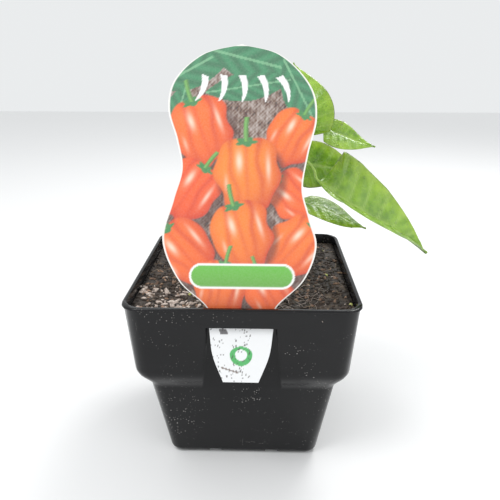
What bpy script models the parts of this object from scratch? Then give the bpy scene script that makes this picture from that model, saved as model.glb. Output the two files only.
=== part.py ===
"""Young chilli pepper plant in a square plastic nursery pot, with its plant label.

Metres, +Z up, +X to the label's right as it is read, +Y to the back of the pot.
The origin is the middle of the pot's underside.  Every piece is one closed body:
the pot, the label pushed through the pot's label slot, the potting mix, the main
stem with its tap root, and each leaf with its own stalk.
"""

import math
import random

import bmesh
import bpy
from mathutils import Matrix, Vector

MM = 0.001

# ---------------------------------------------------------------- pot
POT_HEIGHT = 83.5 * MM
WALL = 1.0 * MM
FLOOR = 1.2 * MM
RIM_HALF = 50.0 * MM            # half the width over the rim flange
RIM_THICK = 1.3 * MM
BAND_HALF_TOP = 49.4 * MM       # plain band under the rim
BLOCK_HALF_BOTTOM = 46.9 * MM   # corner blocks that hold stacked pots apart
BODY_HALF_BASE = 34.6 * MM      # lower body, measured at the floor
BODY_TAPER = 0.165              # growth of the lower body's half width per height
CORNER_TOP = 7.6 * MM           # corner radii in plan
CORNER_BASE = 5.0 * MM
FOOT_ROUND = 3.0 * MM           # rounding between floor and walls
SHOULDER_LOW = 40.5 * MM        # the blocks swell out of the body between these
SHOULDER_HIGH = 52.0 * MM
LEDGE = 74.2 * MM               # underside of the band above each niche
LEDGE_STEP = 0.35 * MM
NICHE_HALF_TOP = 14.4 * MM      # niche in the middle of each side, wider below
NICHE_HALF_BOTTOM = 17.4 * MM
NICHE_BACK_TAPER = 0.09         # growth of the half width at the niche's back
NICHE_EDGE = 0.55 * MM
CORNER_STEPS = 4
CHANNEL_PITCH = 13.4 * MM       # raised channels under the floor, from the centre
CHANNEL_WIDTH = 5.8 * MM
CHANNEL_HEIGHT = 2.4 * MM
DRAIN_RADIUS = 3.0 * MM
GAP = 0.3 * MM                  # clearance between pieces that touch

# ---------------------------------------------------------------- label
LABEL_THICK = 0.5 * MM
LABEL_LEAN = math.radians(19.0)
LABEL_Y = -45.5 * MM            # a point of the label's middle line, at its neck
LABEL_Z = 77.0 * MM
SLOT_HALF_WIDTH = 14.6 * MM
# Outline in the label's own plane: (across, up from that point), in millimetres.
LABEL_RIGHT = [(7.3, -26.0), (11.6, -15.0), (13.2, -4.0), (14.3, 5.0), (25.6, 16.5),
               (30.6, 30.0), (27.9, 41.5), (24.8, 54.0), (26.9, 68.5), (30.2, 83.0),
               (27.6, 96.0), (15.4, 108.6)]
LABEL_LEFT = [(-17.0, 109.0), (-28.4, 98.5), (-31.0, 86.5), (-27.4, 74.0), (-25.4, 62.0),
              (-29.0, 49.0), (-33.2, 32.5), (-26.2, 16.0), (-14.6, 5.0), (-13.3, -4.0),
              (-11.8, -15.0), (-7.4, -26.0)]
LABEL_TOP = (-0.8, 113.2)

# ---------------------------------------------------------------- potting mix
SOIL_LEVEL = 79.0 * MM
SOIL_LUMP = 1.0 * MM
SOIL_RINGS = 9
SOIL_NOTCH_HALF = 17.6 * MM     # the mix stops short of the label
SOIL_NOTCH_Y = -44.2 * MM

# ---------------------------------------------------------------- stem
# Centre line from the tap root's tip to the growing tip: (x, y, z, radius), in mm.
STEM_LINE = [(1.0, 3.0, 46.0, 0.5), (1.4, 3.4, 62.0, 1.4), (2.0, 4.0, 77.0, 2.0),
             (3.2, 5.0, 90.0, 1.8), (5.8, 6.4, 104.0, 1.6), (8.0, 7.5, 119.0, 1.45),
             (12.0, 8.5, 134.0, 1.25), (15.0, 9.0, 147.0, 1.0), (16.8, 9.4, 156.0, 0.75),
             (17.6, 9.5, 160.0, 0.4)]
STEM_STEPS = 4
STALK_SEAT = 0.45 * MM          # from the stem's skin to the cut end of a leaf stalk

# ---------------------------------------------------------------- leaves
STALK_RADIUS = 0.65 * MM
BLADE_HALF_THICK = 0.28 * MM
BLADE_COLUMNS = 3               # mesh columns on each side of the midrib
# joins: height on the stem.  stalk, blade: points of the stalk and of the midrib, in mm.
# face: side that the upper face looks to.  Pairs give the left half, then the right one:
# half: half width in mm.  lift: degrees out of flat.  sweep: how far the edge lies back
# along the midrib.  belly: smaller where the half is widest nearer to its base.
LEAVES = [
    {"name": "leaf_large", "joins": 129.0,
     "stalk": [(19.5, 4.5, 134.0), (27.0, 1.0, 134.8), (31.4, -0.4, 130.6)],
     "blade": [(33.6, -1.2, 125.6), (44.0, -2.6, 118.0), (55.0, -3.0, 111.4),
               (67.0, -2.2, 104.6), (78.0, -1.0, 97.6), (87.2, 0.2, 90.2)],
     "face": (0.05, -0.42, 0.90), "half": (20.6, 15.0), "lift": (36.0, 30.0),
     "sweep": (0.55, -0.05), "belly": (0.62, 0.95)},
    {"name": "leaf_behind_large", "joins": 122.0,
     "stalk": [(13.0, 12.5, 125.5)],
     "blade": [(17.0, 15.5, 127.5), (28.0, 17.6, 129.6), (38.0, 18.4, 128.6),
               (48.0, 18.6, 126.4), (58.0, 17.5, 122.5)],
     "face": (0.1, -0.90, 0.40), "half": (11.6, 12.0), "lift": (6.0, 6.0),
     "sweep": (0.0, 0.0), "belly": (0.66, 0.60)},
    {"name": "leaf_lower_right", "joins": 110.0,
     "stalk": [(14.0, 6.0, 113.5)],
     "blade": [(21.0, 4.6, 114.6), (32.0, 2.6, 113.4), (41.5, 0.6, 110.0),
               (49.5, -0.6, 106.0), (57.0, -1.0, 102.8)],
     "face": (0.0, -0.12, 0.98), "half": (10.0, 7.6), "lift": (5.0, -20.0),
     "sweep": (0.0, 0.0), "belly": (0.80, 0.72)},
    {"name": "leaf_upper", "joins": 141.0,
     "stalk": [(20.0, 6.6, 143.0)],
     "blade": [(25.6, 3.2, 145.6), (27.8, 0.4, 152.5), (27.4, 1.4, 160.5),
               (24.8, 8.5, 168.8), (21.8, 18.5, 176.4)],
     "face": (0.0, -1.0, 0.25), "half": (10.0, 11.6), "lift": (10.0, 6.0),
     "sweep": (0.1, 0.1), "belly": (0.62, 0.66)},
    {"name": "leaf_small_right", "joins": 145.0,
     "stalk": [(24.0, 8.0, 145.8), (30.4, 7.0, 147.4)],
     "blade": [(35.0, 5.4, 148.8), (43.0, 1.6, 146.4), (50.5, -0.6, 143.6),
               (58.2, -1.6, 141.2)],
     "face": (0.1, -0.70, 0.72), "half": (6.6, 9.4), "lift": (8.0, 8.0),
     "sweep": (0.50, 0.05), "belly": (0.58, 0.66)},
    {"name": "leaf_back", "joins": 117.0,
     "stalk": [(7.0, 14.0, 121.5)],
     "blade": [(5.6, 20.0, 123.6), (3.0, 31.0, 124.4), (-0.5, 43.0, 119.5),
               (-3.0, 54.0, 110.0)],
     "face": (0.0, 0.25, 0.97), "half": (14.0, 14.0), "lift": (14.0, 14.0),
     "sweep": (0.15, 0.15), "belly": (0.66, 0.66)},
    {"name": "leaf_back_left", "joins": 136.0,
     "stalk": [(7.5, 14.0, 140.0)],
     "blade": [(3.0, 17.5, 142.2), (-5.0, 23.0, 144.6), (-14.0, 29.0, 143.2),
               (-21.0, 34.0, 138.0)],
     "face": (-0.15, -0.2, 0.95), "half": (9.0, 9.0), "lift": (12.0, 12.0),
     "sweep": (0.15, 0.15), "belly": (0.66, 0.66)},
    {"name": "leaf_lower_left", "joins": 100.0,
     "stalk": [(-1.0, 7.0, 104.6)],
     "blade": [(-5.0, 7.4, 106.4), (-12.0, 8.2, 108.0), (-19.0, 8.8, 106.4),
               (-25.0, 9.4, 102.0)],
     "face": (-0.2, 0.0, 0.97), "half": (8.0, 8.0), "lift": (10.0, 10.0),
     "sweep": (0.1, 0.1), "belly": (0.66, 0.66)},
    {"name": "young_leaf_back", "joins": 151.5,
     "stalk": [(14.2, 12.6, 154.4)],
     "blade": [(12.4, 14.6, 156.2), (8.6, 18.0, 159.2), (4.0, 22.0, 160.6)],
     "face": (-0.3, -0.2, 0.9), "half": (4.6, 4.6), "lift": (20.0, 20.0),
     "sweep": (0.0, 0.0), "belly": (0.7, 0.7)},
    {"name": "young_leaf_tip", "joins": 157.5,
     "stalk": [(14.8, 7.2, 160.0)],
     "blade": [(13.8, 6.2, 161.6), (11.4, 4.2, 165.6), (8.6, 2.4, 169.4)],
     "face": (-0.7, 0.3, 0.6), "half": (3.4, 3.4), "lift": (25.0, 25.0),
     "sweep": (0.0, 0.0), "belly": (0.7, 0.7)},
]

# ---------------------------------------------------------------- colours
POT_BLACK = (0.012, 0.012, 0.014)
LABEL_ORANGE = (0.80, 0.20, 0.06)
SOIL_BROWN = (0.045, 0.032, 0.024)
STEM_GREEN = (0.22, 0.36, 0.07)
LEAF_GREEN = (0.19, 0.38, 0.03)


# ================================================================ helpers
def clear_scene():
    for thing in list(bpy.data.objects):
        bpy.data.objects.remove(thing, do_unlink=True)


def new_collection(name):
    collection = bpy.data.collections.new(name)
    bpy.context.scene.collection.children.link(collection)
    return collection


def make_material(name, colour, roughness):
    material = bpy.data.materials.new(name)
    material.use_nodes = True
    shader = material.node_tree.nodes["Principled BSDF"]
    shader.inputs["Base Color"].default_value = (*colour, 1.0)
    shader.inputs["Roughness"].default_value = roughness
    shader.inputs["Metallic"].default_value = 0.0
    return material


def add_mesh_object(name, bm, collection, material=None):
    """Turn a bmesh into an object with its faces pointing out."""
    bmesh.ops.recalc_face_normals(bm, faces=bm.faces)
    mesh = bpy.data.meshes.new(name)
    bm.to_mesh(mesh)
    bm.free()
    thing = bpy.data.objects.new(name, mesh)
    collection.objects.link(thing)
    if material is not None:
        mesh.materials.append(material)
    return thing


def mark_cutter(thing):
    thing.hide_render = True
    thing.display_type = "WIRE"


def boolean(target, other, operation):
    modifier = target.modifiers.new(operation.lower() + "_" + other.name, "BOOLEAN")
    modifier.operation = operation
    modifier.object = other
    modifier.solver = "EXACT"


def add_box(name, size, centre, collection, lean=0.0):
    """Box of a given size, turned about X by lean, used as a cutter."""
    bm = bmesh.new()
    bmesh.ops.create_cube(bm, size=1.0)
    bmesh.ops.scale(bm, vec=Vector(size), verts=bm.verts)
    bmesh.ops.rotate(bm, matrix=Matrix.Rotation(lean, 3, "X"), verts=bm.verts)
    box = add_mesh_object(name, bm, collection)
    box.location = centre
    mark_cutter(box)
    return box


def lerp(a, b, t):
    return a + (b - a) * t


def smooth_step(low, high, value):
    t = min(1.0, max(0.0, (value - low) / (high - low)))
    return t * t * (3.0 - 2.0 * t)


def smooth_point(points, position):
    """Catmull-Rom point on a run of points; position counts in spans."""
    last = len(points) - 1
    span = min(int(position), last - 1)
    t = position - span
    p1 = points[span]
    p2 = points[span + 1]
    p0 = points[span - 1] if span > 0 else 2.0 * p1 - p2
    p3 = points[span + 2] if span + 2 <= last else 2.0 * p2 - p1
    return 0.5 * (2.0 * p1 + (p2 - p0) * t + (2.0 * p0 - 5.0 * p1 + 4.0 * p2 - p3) * t * t
                  + (3.0 * p1 - p0 - 3.0 * p2 + p3) * t * t * t)


def skin_rings(rings, cap_start=True, cap_end=True):
    """Closed skin over rings of points that all have the same count."""
    bm = bmesh.new()
    rows = [[bm.verts.new(point) for point in ring] for ring in rings]
    count = len(rings[0])
    for low, high in zip(rows, rows[1:]):
        for k in range(count):
            n = (k + 1) % count
            bm.faces.new((low[k], low[n], high[n], high[k]))
    if cap_start:
        bm.faces.new(rows[0][::-1])
    if cap_end:
        bm.faces.new(rows[-1])
    bmesh.ops.triangulate(bm, faces=[face for face in bm.faces if len(face.verts) > 4])
    return bm


# ================================================================ pot
def body_half(z):
    return BODY_HALF_BASE + BODY_TAPER * z


def niche_half(z):
    return body_half(SHOULDER_LOW) + NICHE_BACK_TAPER * (z - SHOULDER_LOW)


def block_half(z):
    rise = (z - SHOULDER_HIGH) / (POT_HEIGHT - SHOULDER_HIGH)
    return lerp(BLOCK_HALF_BOTTOM, BAND_HALF_TOP, min(1.0, max(0.0, rise)))


def pot_ring(z, inset=0.0, lift=0.0, half=None):
    """Plan outline of the pot at a height, moved in by inset and up by lift.

    Each side is a straight run with the niche pressed into its middle, and the
    sides are joined by rounded corners.  lift raises the shoulder and the ledge,
    which is how the wall keeps its thickness under them.
    """
    swell = smooth_step(SHOULDER_LOW + lift, SHOULDER_HIGH + lift, z)
    outer = lerp(body_half(z), block_half(z), swell)
    foot = 0.0
    if z - lift < FOOT_ROUND:
        short = FOOT_ROUND - max(0.0, z - lift)
        foot = FOOT_ROUND - math.sqrt(max(0.0, FOOT_ROUND ** 2 - short ** 2))
    under_band = 1.0 - smooth_step(LEDGE + lift, LEDGE + lift + LEDGE_STEP, z)
    depth = (outer - min(outer, niche_half(z))) * under_band if z > SHOULDER_LOW else 0.0
    outer = (half or outer - 0.75 * foot) - inset
    radius = lerp(CORNER_BASE, CORNER_TOP, z / POT_HEIGHT) - 0.5 * inset
    rise = min(1.0, max(0.0, (z - SHOULDER_LOW) / (LEDGE - SHOULDER_LOW)))
    niche = lerp(NICHE_HALF_BOTTOM, NICHE_HALF_TOP, rise) + inset
    straight = outer - radius
    side = [(-straight, 0.0), (-niche - NICHE_EDGE, 0.0), (-niche + NICHE_EDGE, depth),
            (0.0, depth), (niche - NICHE_EDGE, depth), (niche + NICHE_EDGE, 0.0),
            (straight, 0.0)]
    outline = [(x, -outer + inward) for x, inward in side]
    for step in range(1, CORNER_STEPS):
        angle = 0.5 * math.pi * step / CORNER_STEPS
        outline.append((straight + radius * math.sin(angle), -straight - radius * math.cos(angle)))
    ring = []
    for quarter in range(4):
        turn = Matrix.Rotation(0.5 * math.pi * quarter, 2)
        ring += [(*(turn @ Vector(point)), z) for point in outline]
    return ring


def wall_heights(bottom, top, lift):
    """Heights at which the pot's outline is taken, closer where it changes."""
    foot = [bottom + FOOT_ROUND * k for k in (0.0, 0.12, 0.35, 0.7, 1.0)]
    shoulder = [SHOULDER_LOW + lift + (SHOULDER_HIGH - SHOULDER_LOW) * k / 6 for k in range(7)]
    ledge = [LEDGE + lift, LEDGE + lift + 0.5 * LEDGE_STEP, LEDGE + lift + LEDGE_STEP]
    return foot + [0.5 * SHOULDER_LOW] + shoulder + ledge + [top]


def build_pot(parts, cutters):
    under_rim = POT_HEIGHT - RIM_THICK
    rings = [pot_ring(z) for z in wall_heights(0.0, under_rim, 0.0)]
    rings.append(pot_ring(under_rim, half=RIM_HALF - 0.2 * MM))
    rings.append(pot_ring(under_rim + 0.25 * MM, half=RIM_HALF))
    rings.append(pot_ring(POT_HEIGHT - 0.4 * MM, half=RIM_HALF))
    rings.append(pot_ring(POT_HEIGHT, half=RIM_HALF - 0.5 * MM))
    material = make_material("pot_black_plastic", POT_BLACK, 0.22)
    pot = add_mesh_object("pot", skin_rings(rings), parts, material)

    heights = wall_heights(FLOOR, POT_HEIGHT + 2.0 * MM, WALL)
    hollow = add_mesh_object("pot_hollow", skin_rings([pot_ring(z, WALL, WALL) for z in heights]),
                             cutters)
    mark_cutter(hollow)
    run = 2.2 * BODY_HALF_BASE
    for n, offset in enumerate((-CHANNEL_PITCH, CHANNEL_PITCH)):
        for axis in "xy":
            outer_size = [run, CHANNEL_WIDTH, 2.0 * CHANNEL_HEIGHT]
            wide = CHANNEL_WIDTH + 2.0 * FLOOR
            inner_size = [run, wide, 2.0 * (CHANNEL_HEIGHT + FLOOR)]
            centre = [0.0, offset, 0.0]
            if axis == "y":
                outer_size[0], outer_size[1] = outer_size[1], outer_size[0]
                inner_size[0], inner_size[1] = inner_size[1], inner_size[0]
                centre[0], centre[1] = centre[1], centre[0]
            ridge = add_box(f"ridge_{axis}{n}", inner_size, centre, cutters)
            boolean(hollow, ridge, "DIFFERENCE")
            channel = add_box(f"channel_{axis}{n}", outer_size, centre, cutters)
            boolean(pot, channel, "DIFFERENCE")
    boolean(pot, hollow, "DIFFERENCE")

    for n, (sx, sy) in enumerate(((-1, -1), (1, -1), (1, 1), (-1, 1))):
        bm = bmesh.new()
        bmesh.ops.create_cone(bm, cap_ends=True, segments=20, radius1=DRAIN_RADIUS,
                              radius2=DRAIN_RADIUS, depth=12.0 * MM)
        drain = add_mesh_object(f"drain_{n}", bm, cutters)
        drain.location = (sx * CHANNEL_PITCH, sy * CHANNEL_PITCH, CHANNEL_HEIGHT)
        mark_cutter(drain)
        boolean(pot, drain, "DIFFERENCE")

    slot_size = (2.0 * SLOT_HALF_WIDTH, LABEL_THICK + 2.0 * GAP, 5.0 * MM)
    slot_z = LEDGE + 0.5 * WALL
    slot_y = LABEL_Y + (slot_z - LABEL_Z) * math.tan(LABEL_LEAN)
    slot = add_box("label_slot", slot_size, (0.0, slot_y, slot_z), cutters, -LABEL_LEAN)
    boolean(pot, slot, "DIFFERENCE")
    return pot


# ================================================================ label
def build_label(parts):
    """Flat sheet with two lobes and a tail, leaning back through the slot."""
    outline = LABEL_RIGHT + [LABEL_TOP] + LABEL_LEFT
    curve = bpy.data.curves.new("plant_label", "CURVE")
    curve.dimensions = "2D"
    curve.fill_mode = "BOTH"
    curve.extrude = 0.5 * LABEL_THICK
    curve.resolution_u = 4
    spline = curve.splines.new("BEZIER")
    spline.bezier_points.add(len(outline) - 1)
    for point, (across, up) in zip(spline.bezier_points, outline):
        point.co = (across * MM, up * MM, 0.0)
        point.handle_left_type = "AUTO"
        point.handle_right_type = "AUTO"
    for corner in (spline.bezier_points[0], spline.bezier_points[-1]):
        corner.handle_left_type = "VECTOR"
        corner.handle_right_type = "VECTOR"
    spline.use_cyclic_u = True
    curve.materials.append(make_material("label_printed_plastic", LABEL_ORANGE, 0.35))
    label = bpy.data.objects.new("plant_label", curve)
    label.location = (0.0, LABEL_Y, LABEL_Z)
    label.rotation_euler = (0.5 * math.pi - LABEL_LEAN, 0.0, 0.0)
    parts.objects.link(label)
    return label


# ================================================================ potting mix
def soil_height(x, y, bumps):
    """Gently lumpy level of the mix."""
    lump = sum(size * math.sin(fx * x + fy * y + phase) for size, fx, fy, phase in bumps)
    return SOIL_LEVEL + lump


def build_soil(parts, cutters, stem_hole):
    draw = random.Random(7)
    bumps = []
    for _ in range(6):
        turn = draw.uniform(0.0, math.tau)
        waves = draw.uniform(120.0, 330.0)
        bumps.append((SOIL_LUMP * draw.uniform(0.25, 0.45), waves * math.cos(turn),
                      waves * math.sin(turn), draw.uniform(0.0, math.tau)))
    inset = WALL + GAP
    bottom = FLOOR + CHANNEL_HEIGHT + GAP + 0.2 * MM
    edge = SOIL_LEVEL - 0.6 * MM
    heights = [bottom, 0.5 * SHOULDER_LOW]
    heights += [SHOULDER_LOW + inset + (SHOULDER_HIGH - SHOULDER_LOW) * k / 4 for k in range(5)]
    heights += [LEDGE + inset, LEDGE + inset + LEDGE_STEP]
    rings = [pot_ring(z, inset, inset) for z in heights]
    rim_ring = pot_ring(edge + GAP, inset, inset)
    for k in range(SOIL_RINGS):
        shrink = 1.0 - k / SOIL_RINGS
        ring = []
        for x, y, _ in rim_ring:
            px = x * shrink
            py = y * shrink
            ring.append((px, py, lerp(edge, soil_height(px, py, bumps), min(1.0, 0.35 + 0.65 * k))))
        rings.append(ring)
    material = make_material("potting_mix", SOIL_BROWN, 0.85)
    soil = add_mesh_object("potting_mix", skin_rings(rings), parts, material)
    deep = 12.0 * MM
    notch_depth = 12.0 * MM
    notch = add_box("label_notch", (2.0 * SOIL_NOTCH_HALF, notch_depth, deep),
                    (0.0, SOIL_NOTCH_Y - 0.5 * notch_depth, LEDGE + WALL + 0.5 * deep - 1.5 * MM),
                    cutters)
    boolean(soil, notch, "DIFFERENCE")
    boolean(soil, stem_hole, "DIFFERENCE")
    return soil


# ================================================================ stem
def stem_samples():
    """Points along the stem as (centre, radius) pairs, from the root tip up."""
    centres = [Vector(point[:3]) * MM for point in STEM_LINE]
    radii = [point[3] * MM for point in STEM_LINE]
    samples = []
    for k in range((len(STEM_LINE) - 1) * STEM_STEPS + 1):
        position = k / STEM_STEPS
        span = min(int(position), len(STEM_LINE) - 2)
        radius = lerp(radii[span], radii[span + 1], position - span)
        samples.append((smooth_point(centres, position), radius))
    return samples


def stem_at(z):
    samples = stem_samples()
    for (low, r_low), (high, r_high) in zip(samples, samples[1:]):
        if low.z <= z <= high.z:
            t = (z - low.z) / (high.z - low.z)
            return low.lerp(high, t), lerp(r_low, r_high, t)
    return samples[-1]


def stem_curve(name, samples, extra, collection):
    curve = bpy.data.curves.new(name, "CURVE")
    curve.dimensions = "3D"
    curve.bevel_depth = 1.0
    curve.bevel_resolution = 2
    curve.use_fill_caps = True
    spline = curve.splines.new("POLY")
    spline.points.add(len(samples) - 1)
    for point, (centre, radius) in zip(spline.points, samples):
        point.co = (*centre, 1.0)
        point.radius = radius + extra
    thing = bpy.data.objects.new(name, curve)
    collection.objects.link(thing)
    return thing


def build_stem(parts):
    stem = stem_curve("main_stem", stem_samples(), 0.0, parts)
    stem.data.materials.append(make_material("stem_green", STEM_GREEN, 0.45))
    return stem


def build_root_hole(cutters):
    """Room for the tap root in the mix, a clearance wider than the root."""
    samples = [sample for sample in stem_samples() if sample[0].z < SOIL_LEVEL + 6.0 * MM]
    tip, tip_radius = samples[0]
    samples = [(tip - Vector((0.0, 0.0, GAP)), tip_radius)] + samples
    tube = stem_curve("root_hole_curve", samples, GAP, cutters)
    bpy.context.view_layer.update()
    mesh = bpy.data.meshes.new_from_object(tube.evaluated_get(bpy.context.evaluated_depsgraph_get()))
    bpy.data.objects.remove(tube, do_unlink=True)
    bm = bmesh.new()
    bm.from_mesh(mesh)
    bmesh.ops.remove_doubles(bm, verts=bm.verts, dist=0.01 * MM)
    hole = add_mesh_object("root_hole", bm, cutters)
    mark_cutter(hole)
    return hole


# ================================================================ leaves
def blade_width(u, belly):
    """Share of the full half width along a blade: ovate, with a drawn-out tip."""
    return math.sin(math.pi * u ** belly) ** (0.60 + 0.75 * u)


def leaf_rings(stalk, blade, spec):
    """Rings of a leaf: a round stalk that flattens into a folded blade."""
    points = stalk + blade
    face = Vector(spec["face"])
    first_blade = len(stalk)
    steps = 3
    total = (len(points) - 1) * steps
    rings = []
    for k in range(total + 1):
        position = k / steps
        centre = smooth_point(points, position)
        ahead = smooth_point(points, min(position + 0.05, len(points) - 1.0))
        behind = smooth_point(points, max(position - 0.05, 0.0))
        along = (ahead - behind).normalized()
        across = along.cross(face).normalized()
        up = across.cross(along)
        u = max(0.0, (position - first_blade) / (len(blade) - 1))
        flat = min(1.0, 5.0 * u)
        thick = lerp(STALK_RADIUS, BLADE_HALF_THICK, flat) * (1.0 if u < 0.9 else 0.6)
        top = []
        bottom = []
        for column in range(-BLADE_COLUMNS, BLADE_COLUMNS + 1):
            t = column / BLADE_COLUMNS
            side = 0 if column < 0 else 1
            share = blade_width(min(u, 0.985), spec["belly"][side]) if u > 0.0 else 0.0
            width = max(STALK_RADIUS * (1.0 - 0.5 * u), spec["half"][side] * MM * share)
            lift = math.radians(spec["lift"][side]) * flat
            reach = lerp(math.sin(0.5 * math.pi * t) * STALK_RADIUS, t * width, flat)
            spot = centre + across * (reach * math.cos(lift)) + up * (abs(reach) * math.sin(lift))
            spot -= along * (spec["sweep"][side] * abs(t) * max(0.0, width - STALK_RADIUS) * flat)
            plump = thick * math.sqrt(max(0.0, 1.0 - math.sin(0.5 * math.pi * t) ** 2))
            top.append(spot + up * plump)
            bottom.append(spot - up * plump)
        rings.append(top + bottom[-2:0:-1])
    return rings


def build_leaf(spec, parts):
    name = spec["name"]
    stalk = [Vector(point) * MM for point in spec["stalk"]]
    blade = [Vector(point) * MM for point in spec["blade"]]
    centre, radius = stem_at(spec["joins"] * MM)
    outward = (stalk[0] - centre).normalized()
    flat_out = Vector((outward.x, outward.y, 0.0)).length
    clear = radius + STALK_SEAT + STALK_RADIUS * abs(outward.z)
    start = centre + outward * (clear / flat_out)
    rings = leaf_rings([start] + stalk, blade, spec)
    material = make_material(name + "_green", LEAF_GREEN, 0.35)
    return add_mesh_object(name, skin_rings(rings), parts, material)


# ================================================================ model
def main():
    clear_scene()
    parts = new_collection("potted_chilli_plant")
    cutters = new_collection("cutters")
    build_pot(parts, cutters)
    build_label(parts)
    build_stem(parts)
    build_soil(parts, cutters, build_root_hole(cutters))
    for spec in LEAVES:
        build_leaf(spec, parts)


main()
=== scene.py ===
"""Looks of a young chilli pepper plant in a square nursery pot, laid out as a Blender add-on."""
import math
import random

import bmesh
import bpy
import numpy as np
from bpy.props import FloatProperty, FloatVectorProperty, IntProperty, PointerProperty
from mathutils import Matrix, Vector


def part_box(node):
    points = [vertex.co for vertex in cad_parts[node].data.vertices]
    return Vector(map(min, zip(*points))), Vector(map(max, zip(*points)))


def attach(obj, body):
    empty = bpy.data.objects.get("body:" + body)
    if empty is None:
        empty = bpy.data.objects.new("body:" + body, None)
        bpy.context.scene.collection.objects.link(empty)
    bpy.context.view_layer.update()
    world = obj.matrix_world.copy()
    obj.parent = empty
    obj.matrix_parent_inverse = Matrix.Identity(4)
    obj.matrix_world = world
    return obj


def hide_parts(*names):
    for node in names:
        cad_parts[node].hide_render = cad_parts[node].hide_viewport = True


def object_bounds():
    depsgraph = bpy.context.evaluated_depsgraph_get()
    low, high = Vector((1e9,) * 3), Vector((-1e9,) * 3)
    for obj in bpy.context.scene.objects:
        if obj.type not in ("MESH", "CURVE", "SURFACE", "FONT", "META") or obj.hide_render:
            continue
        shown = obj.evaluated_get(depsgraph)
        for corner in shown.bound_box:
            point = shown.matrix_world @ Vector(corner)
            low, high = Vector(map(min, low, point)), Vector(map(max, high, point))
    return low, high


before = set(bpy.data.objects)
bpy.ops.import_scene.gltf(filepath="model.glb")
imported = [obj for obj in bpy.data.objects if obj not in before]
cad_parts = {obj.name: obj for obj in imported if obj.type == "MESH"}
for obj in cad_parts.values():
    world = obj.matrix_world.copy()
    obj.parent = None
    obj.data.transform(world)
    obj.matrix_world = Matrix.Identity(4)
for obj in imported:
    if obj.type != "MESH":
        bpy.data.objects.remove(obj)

bl_info = {
    "name": "Potted chilli plant",
    "version": (1, 0, 0),
    "blender": (4, 5, 0),
    "location": "View3D > Sidebar > Chilli",
    "description": "Builds a chilli seedling with its nursery pot, potting mix and plant label",
    "category": "Object",
}

MM = 0.001
CAD_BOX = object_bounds()
BODY = "root"
RIM_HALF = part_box("pot")[1].x
SOIL_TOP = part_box("potting_mix")[1].z
# Ground for strewn pieces: faces this near the top of the mix and this far inside the rim.
GROUND_DEPTH = 4.0 * MM
GROUND_MARGIN = 4.6 * MM
# Patches of the ground: lowest and highest x, lowest and highest y.
BARK_CORNER = (-46.0 * MM, -14.0 * MM, -46.0 * MM, -20.0 * MM)
FIBRE_PATCH = (10.0 * MM, 36.0 * MM, -46.0 * MM, -16.0 * MM)

# Camera: its place, and in radians how far it looks down and turns to its left.
CAMERA_PLACE = (9.3 * MM, -244.8 * MM, 180.0 * MM)
CAMERA_DIP = 0.348
CAMERA_TURN = 0.0288

# Label: a flat sheet leaning back, given by a point of its middle line at the neck.
LABEL_LEAN = math.radians(19.0)
LABEL_Y = -45.5 * MM
LABEL_Z = 77.0 * MM
LABEL_THICK = 0.5 * MM
# Outline in the sheet's own plane: (across, up from that point), in millimetres.
LABEL_RIGHT = [(7.3, -26.0), (11.6, -15.0), (13.2, -4.0), (14.3, 5.0), (25.6, 16.5),
               (30.6, 30.0), (27.9, 41.5), (24.8, 54.0), (26.9, 68.5), (30.2, 83.0),
               (27.6, 96.0), (15.4, 108.6), (-0.8, 113.1)]
LABEL_LEFT = [(-7.4, -26.0), (-11.8, -15.0), (-13.3, -4.0), (-14.6, 5.0), (-26.2, 16.0),
              (-33.0, 32.5), (-29.0, 49.0), (-25.4, 62.0), (-27.4, 74.0), (-30.9, 86.5),
              (-28.4, 98.5), (-17.0, 109.0), (-0.8, 113.1)]

# Printed leaves: middle, half length and half width, turn in radians.
PRINTED_LEAVES = [((-20.0, 104.0), (20.0, 8.0), 0.5), ((6.0, 106.0), (22.0, 9.0), -0.25),
                  ((24.0, 92.0), (17.0, 7.5), -1.1), ((-27.0, 84.0), (14.0, 6.0), 1.3),
                  ((2.0, 96.0), (18.0, 6.0), 0.15)]
# Printed peppers, back to front: middle, half width, turn in radians, how much yellower.
PRINTED_PEPPERS = [((20.0, 75.0), 10.5, -0.5, 0.05), ((-17.0, 78.0), 12.5, 0.35, 0.02),
                   ((22.0, 51.0), 10.0, 0.9, 0.0), ((-22.0, 53.0), 11.5, -0.6, -0.03),
                   ((-24.0, 28.0), 12.0, 0.7, 0.02), ((2.0, 60.0), 13.5, 0.05, 0.12),
                   ((22.0, 30.0), 11.5, -0.75, 0.05), ((0.0, 35.0), 12.5, 0.3, 0.09),
                   ((-9.0, 12.0), 11.0, -0.2, 0.04), ((12.0, 11.0), 10.0, 0.5, 0.0)]
# Plain green band: height of its middle, half height and half length.
BAND_MIDDLE = 18.0
BAND_HALF = 4.4
BAND_REACH = 21.0

# Centre line of the stem from the root's tip to the growing tip: (x, y, z, radius), in mm.
STEM_LINE = [(1.0, 3.0, 46.0, 0.5), (1.4, 3.4, 62.0, 1.4), (2.0, 4.0, 77.0, 2.0),
             (3.2, 5.0, 90.0, 1.8), (5.8, 6.4, 104.0, 1.6), (8.0, 7.5, 119.0, 1.45),
             (12.0, 8.5, 134.0, 1.25), (15.0, 9.0, 147.0, 1.0), (16.8, 9.4, 156.0, 0.75),
             (17.6, 9.5, 160.0, 0.4)]
STALK_SEAT = 0.45 * MM
STALK_RADIUS = 0.65 * MM
BLADE_HALF_THICK = 0.2 * MM
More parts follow.
